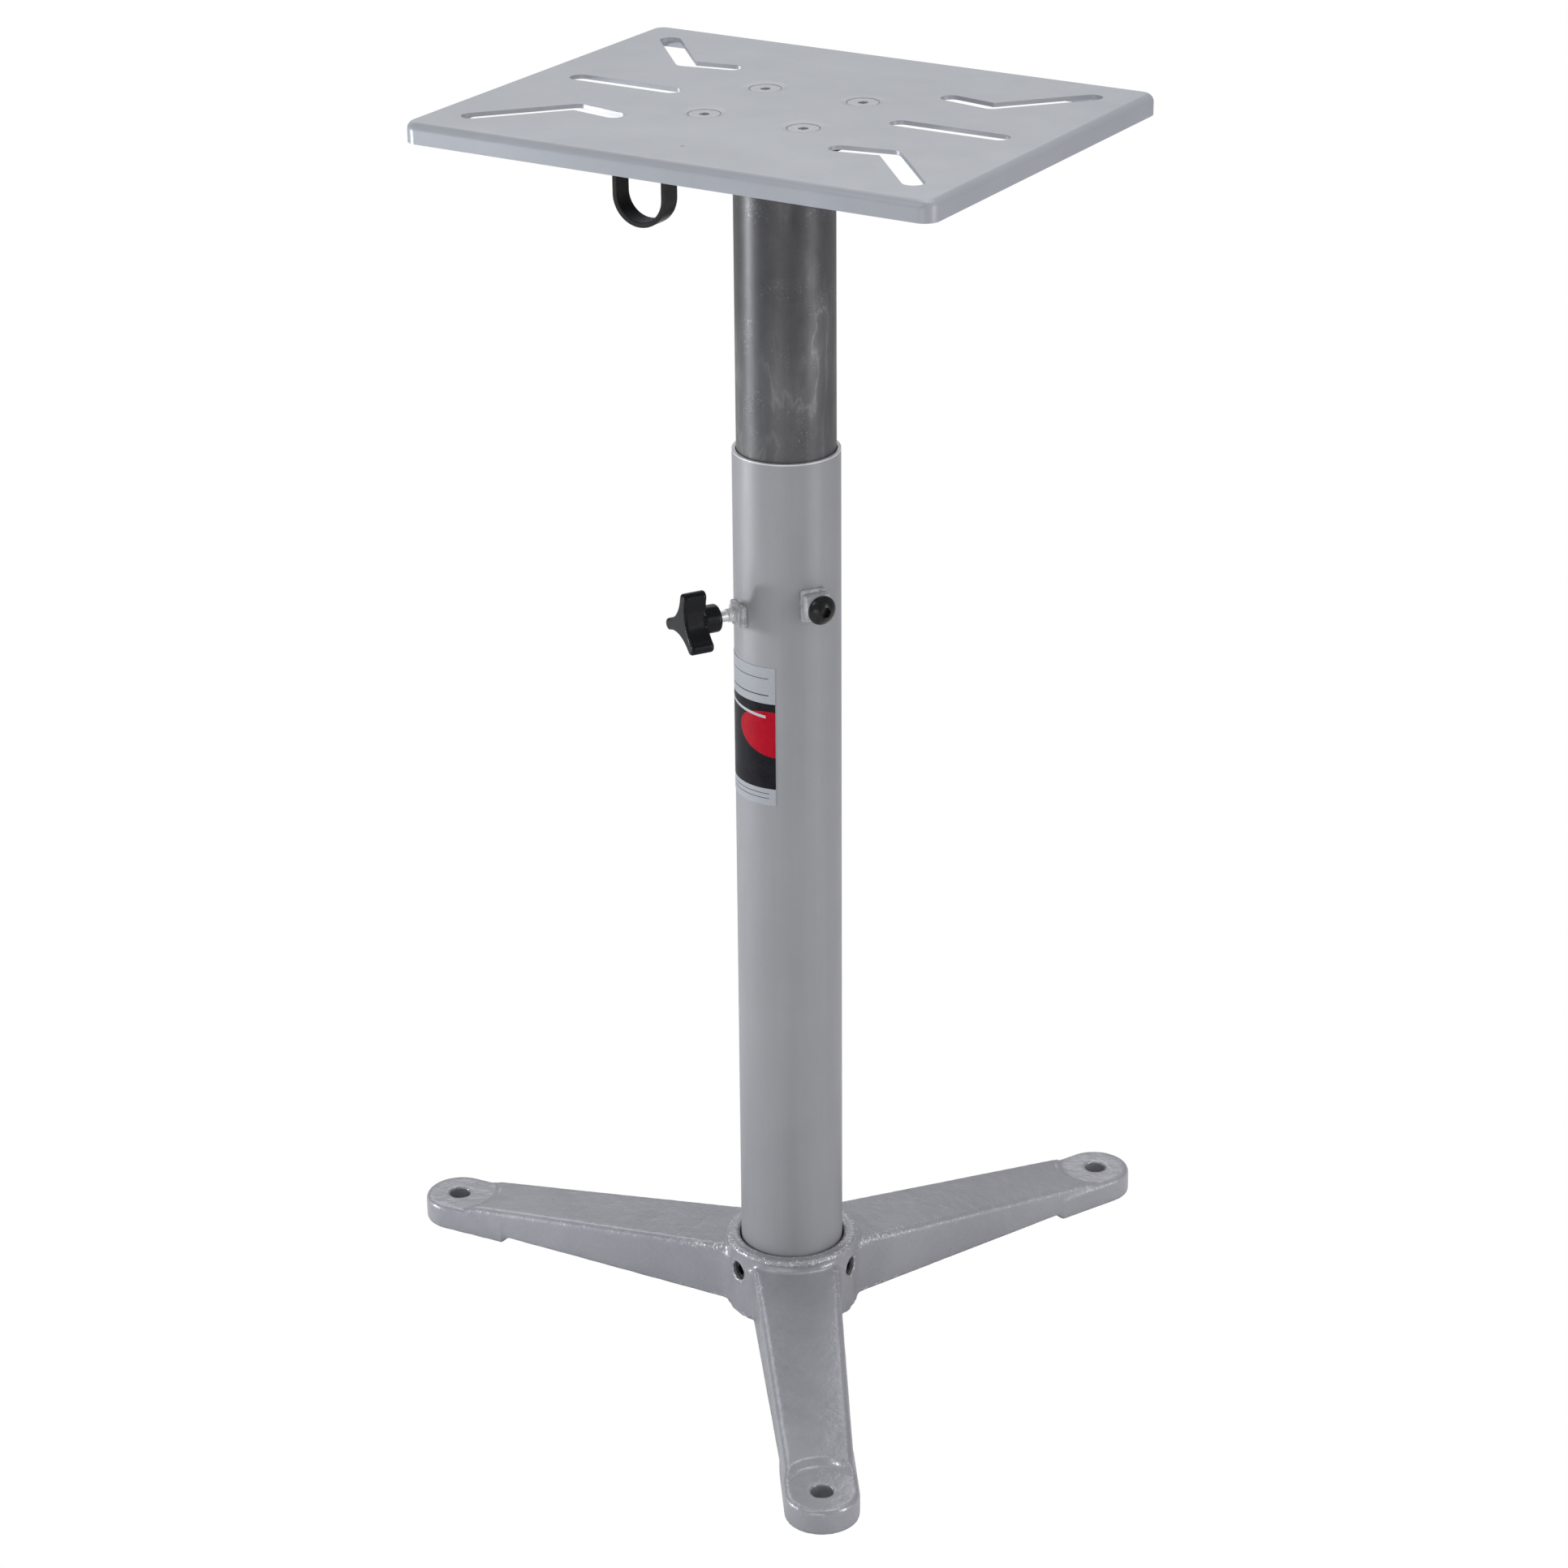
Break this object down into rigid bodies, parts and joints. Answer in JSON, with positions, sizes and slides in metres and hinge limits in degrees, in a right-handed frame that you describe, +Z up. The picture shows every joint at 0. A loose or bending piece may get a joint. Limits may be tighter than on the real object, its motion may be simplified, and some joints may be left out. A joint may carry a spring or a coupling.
{
  "type": "bench grinder stand",
  "caption": "Pedestal stand with a three-legged cast base, a telescoping round column locked by a knob and a bolt, and a slotted steel top plate.",
  "frame": {"origin": "on the column's axis, in the plane of the feet's undersides", "axes": "+Z up along the column, X along the top plate's long sides, -Y towards the side with the tool loop"},
  "size_m": [0.4318, 0.4636, 0.7693],
  "materials": {
    "casting_paint": "silver-grey paint over cast iron",
    "tube_paint": "satin silver-grey paint",
    "plate_paint": "satin light blue-grey paint",
    "tube_steel": "dark oiled mill scale",
    "flange_iron": "black",
    "loop_paint": "satin black paint",
    "black_steel": "black oxide",
    "screw_steel": "zinc plated",
    "zinc": "zinc plated",
    "weld_paint": "satin silver-grey paint over a weld bead",
    "knob_plastic": "glossy black",
    "label_film": "printed film"
  },
  "bodies": {
    "stand": {"base_casting": "casting_paint", "hub_set_screw_1": "black_steel", "hub_set_screw_2": "black_steel", "hub_set_screw_3": "black_steel", "outer_tube": "tube_paint", "label": "label_film", "stud_nut": "zinc", "stud_nut_weld": "weld_paint", "bolt_nut": "zinc", "bolt_nut_weld": "weld_paint"},
    "column": {"inner_tube": "tube_steel"},
    "head": {"head_flange": "flange_iron", "top_plate": "plate_paint", "plate_screw_1": "screw_steel", "plate_screw_2": "screw_steel", "plate_screw_3": "screw_steel", "plate_screw_4": "screw_steel", "tool_loop": "loop_paint", "loop_weld_left": "loop_paint", "loop_weld_right": "loop_paint"},
    "stud": {"lock_stud": "zinc"},
    "knob": {"lock_knob": "knob_plastic"},
    "bolt": {"lock_bolt": "black_steel"}
  },
  "joints": [
    {"name": "height_slide", "type": "slide", "parent": "stand", "child": "column", "axis": [0, 0, 1], "range_m": [-0.18, 0.14]},
    {"name": "head_swivel", "type": "hinge", "parent": "column", "child": "head", "pos_m": [0, 0, 0.76], "axis": [0, 0, 1], "continuous": true},
    {"name": "stud_advance", "type": "slide", "parent": "stand", "child": "stud", "axis": [-0.527, -0.8499, 0], "range_m": [0, 0.00375]},
    {"name": "knob_turn", "type": "hinge", "parent": "stud", "child": "knob", "pos_m": [-0.02898, -0.04674, 0.4718], "axis": [-0.527, -0.8499, 0], "range_deg": [0, 1080]},
    {"name": "bolt_turn", "type": "hinge", "parent": "stand", "child": "bolt", "pos_m": [0.03845, -0.02338, 0.4825], "axis": [0.8545, -0.5195, 0], "range_deg": [0, 720]}
  ],
  "couplings": [
    {"joint": "stud_advance", "follows": "knob_turn", "m_per_rad": 0.00019894}
  ]
}
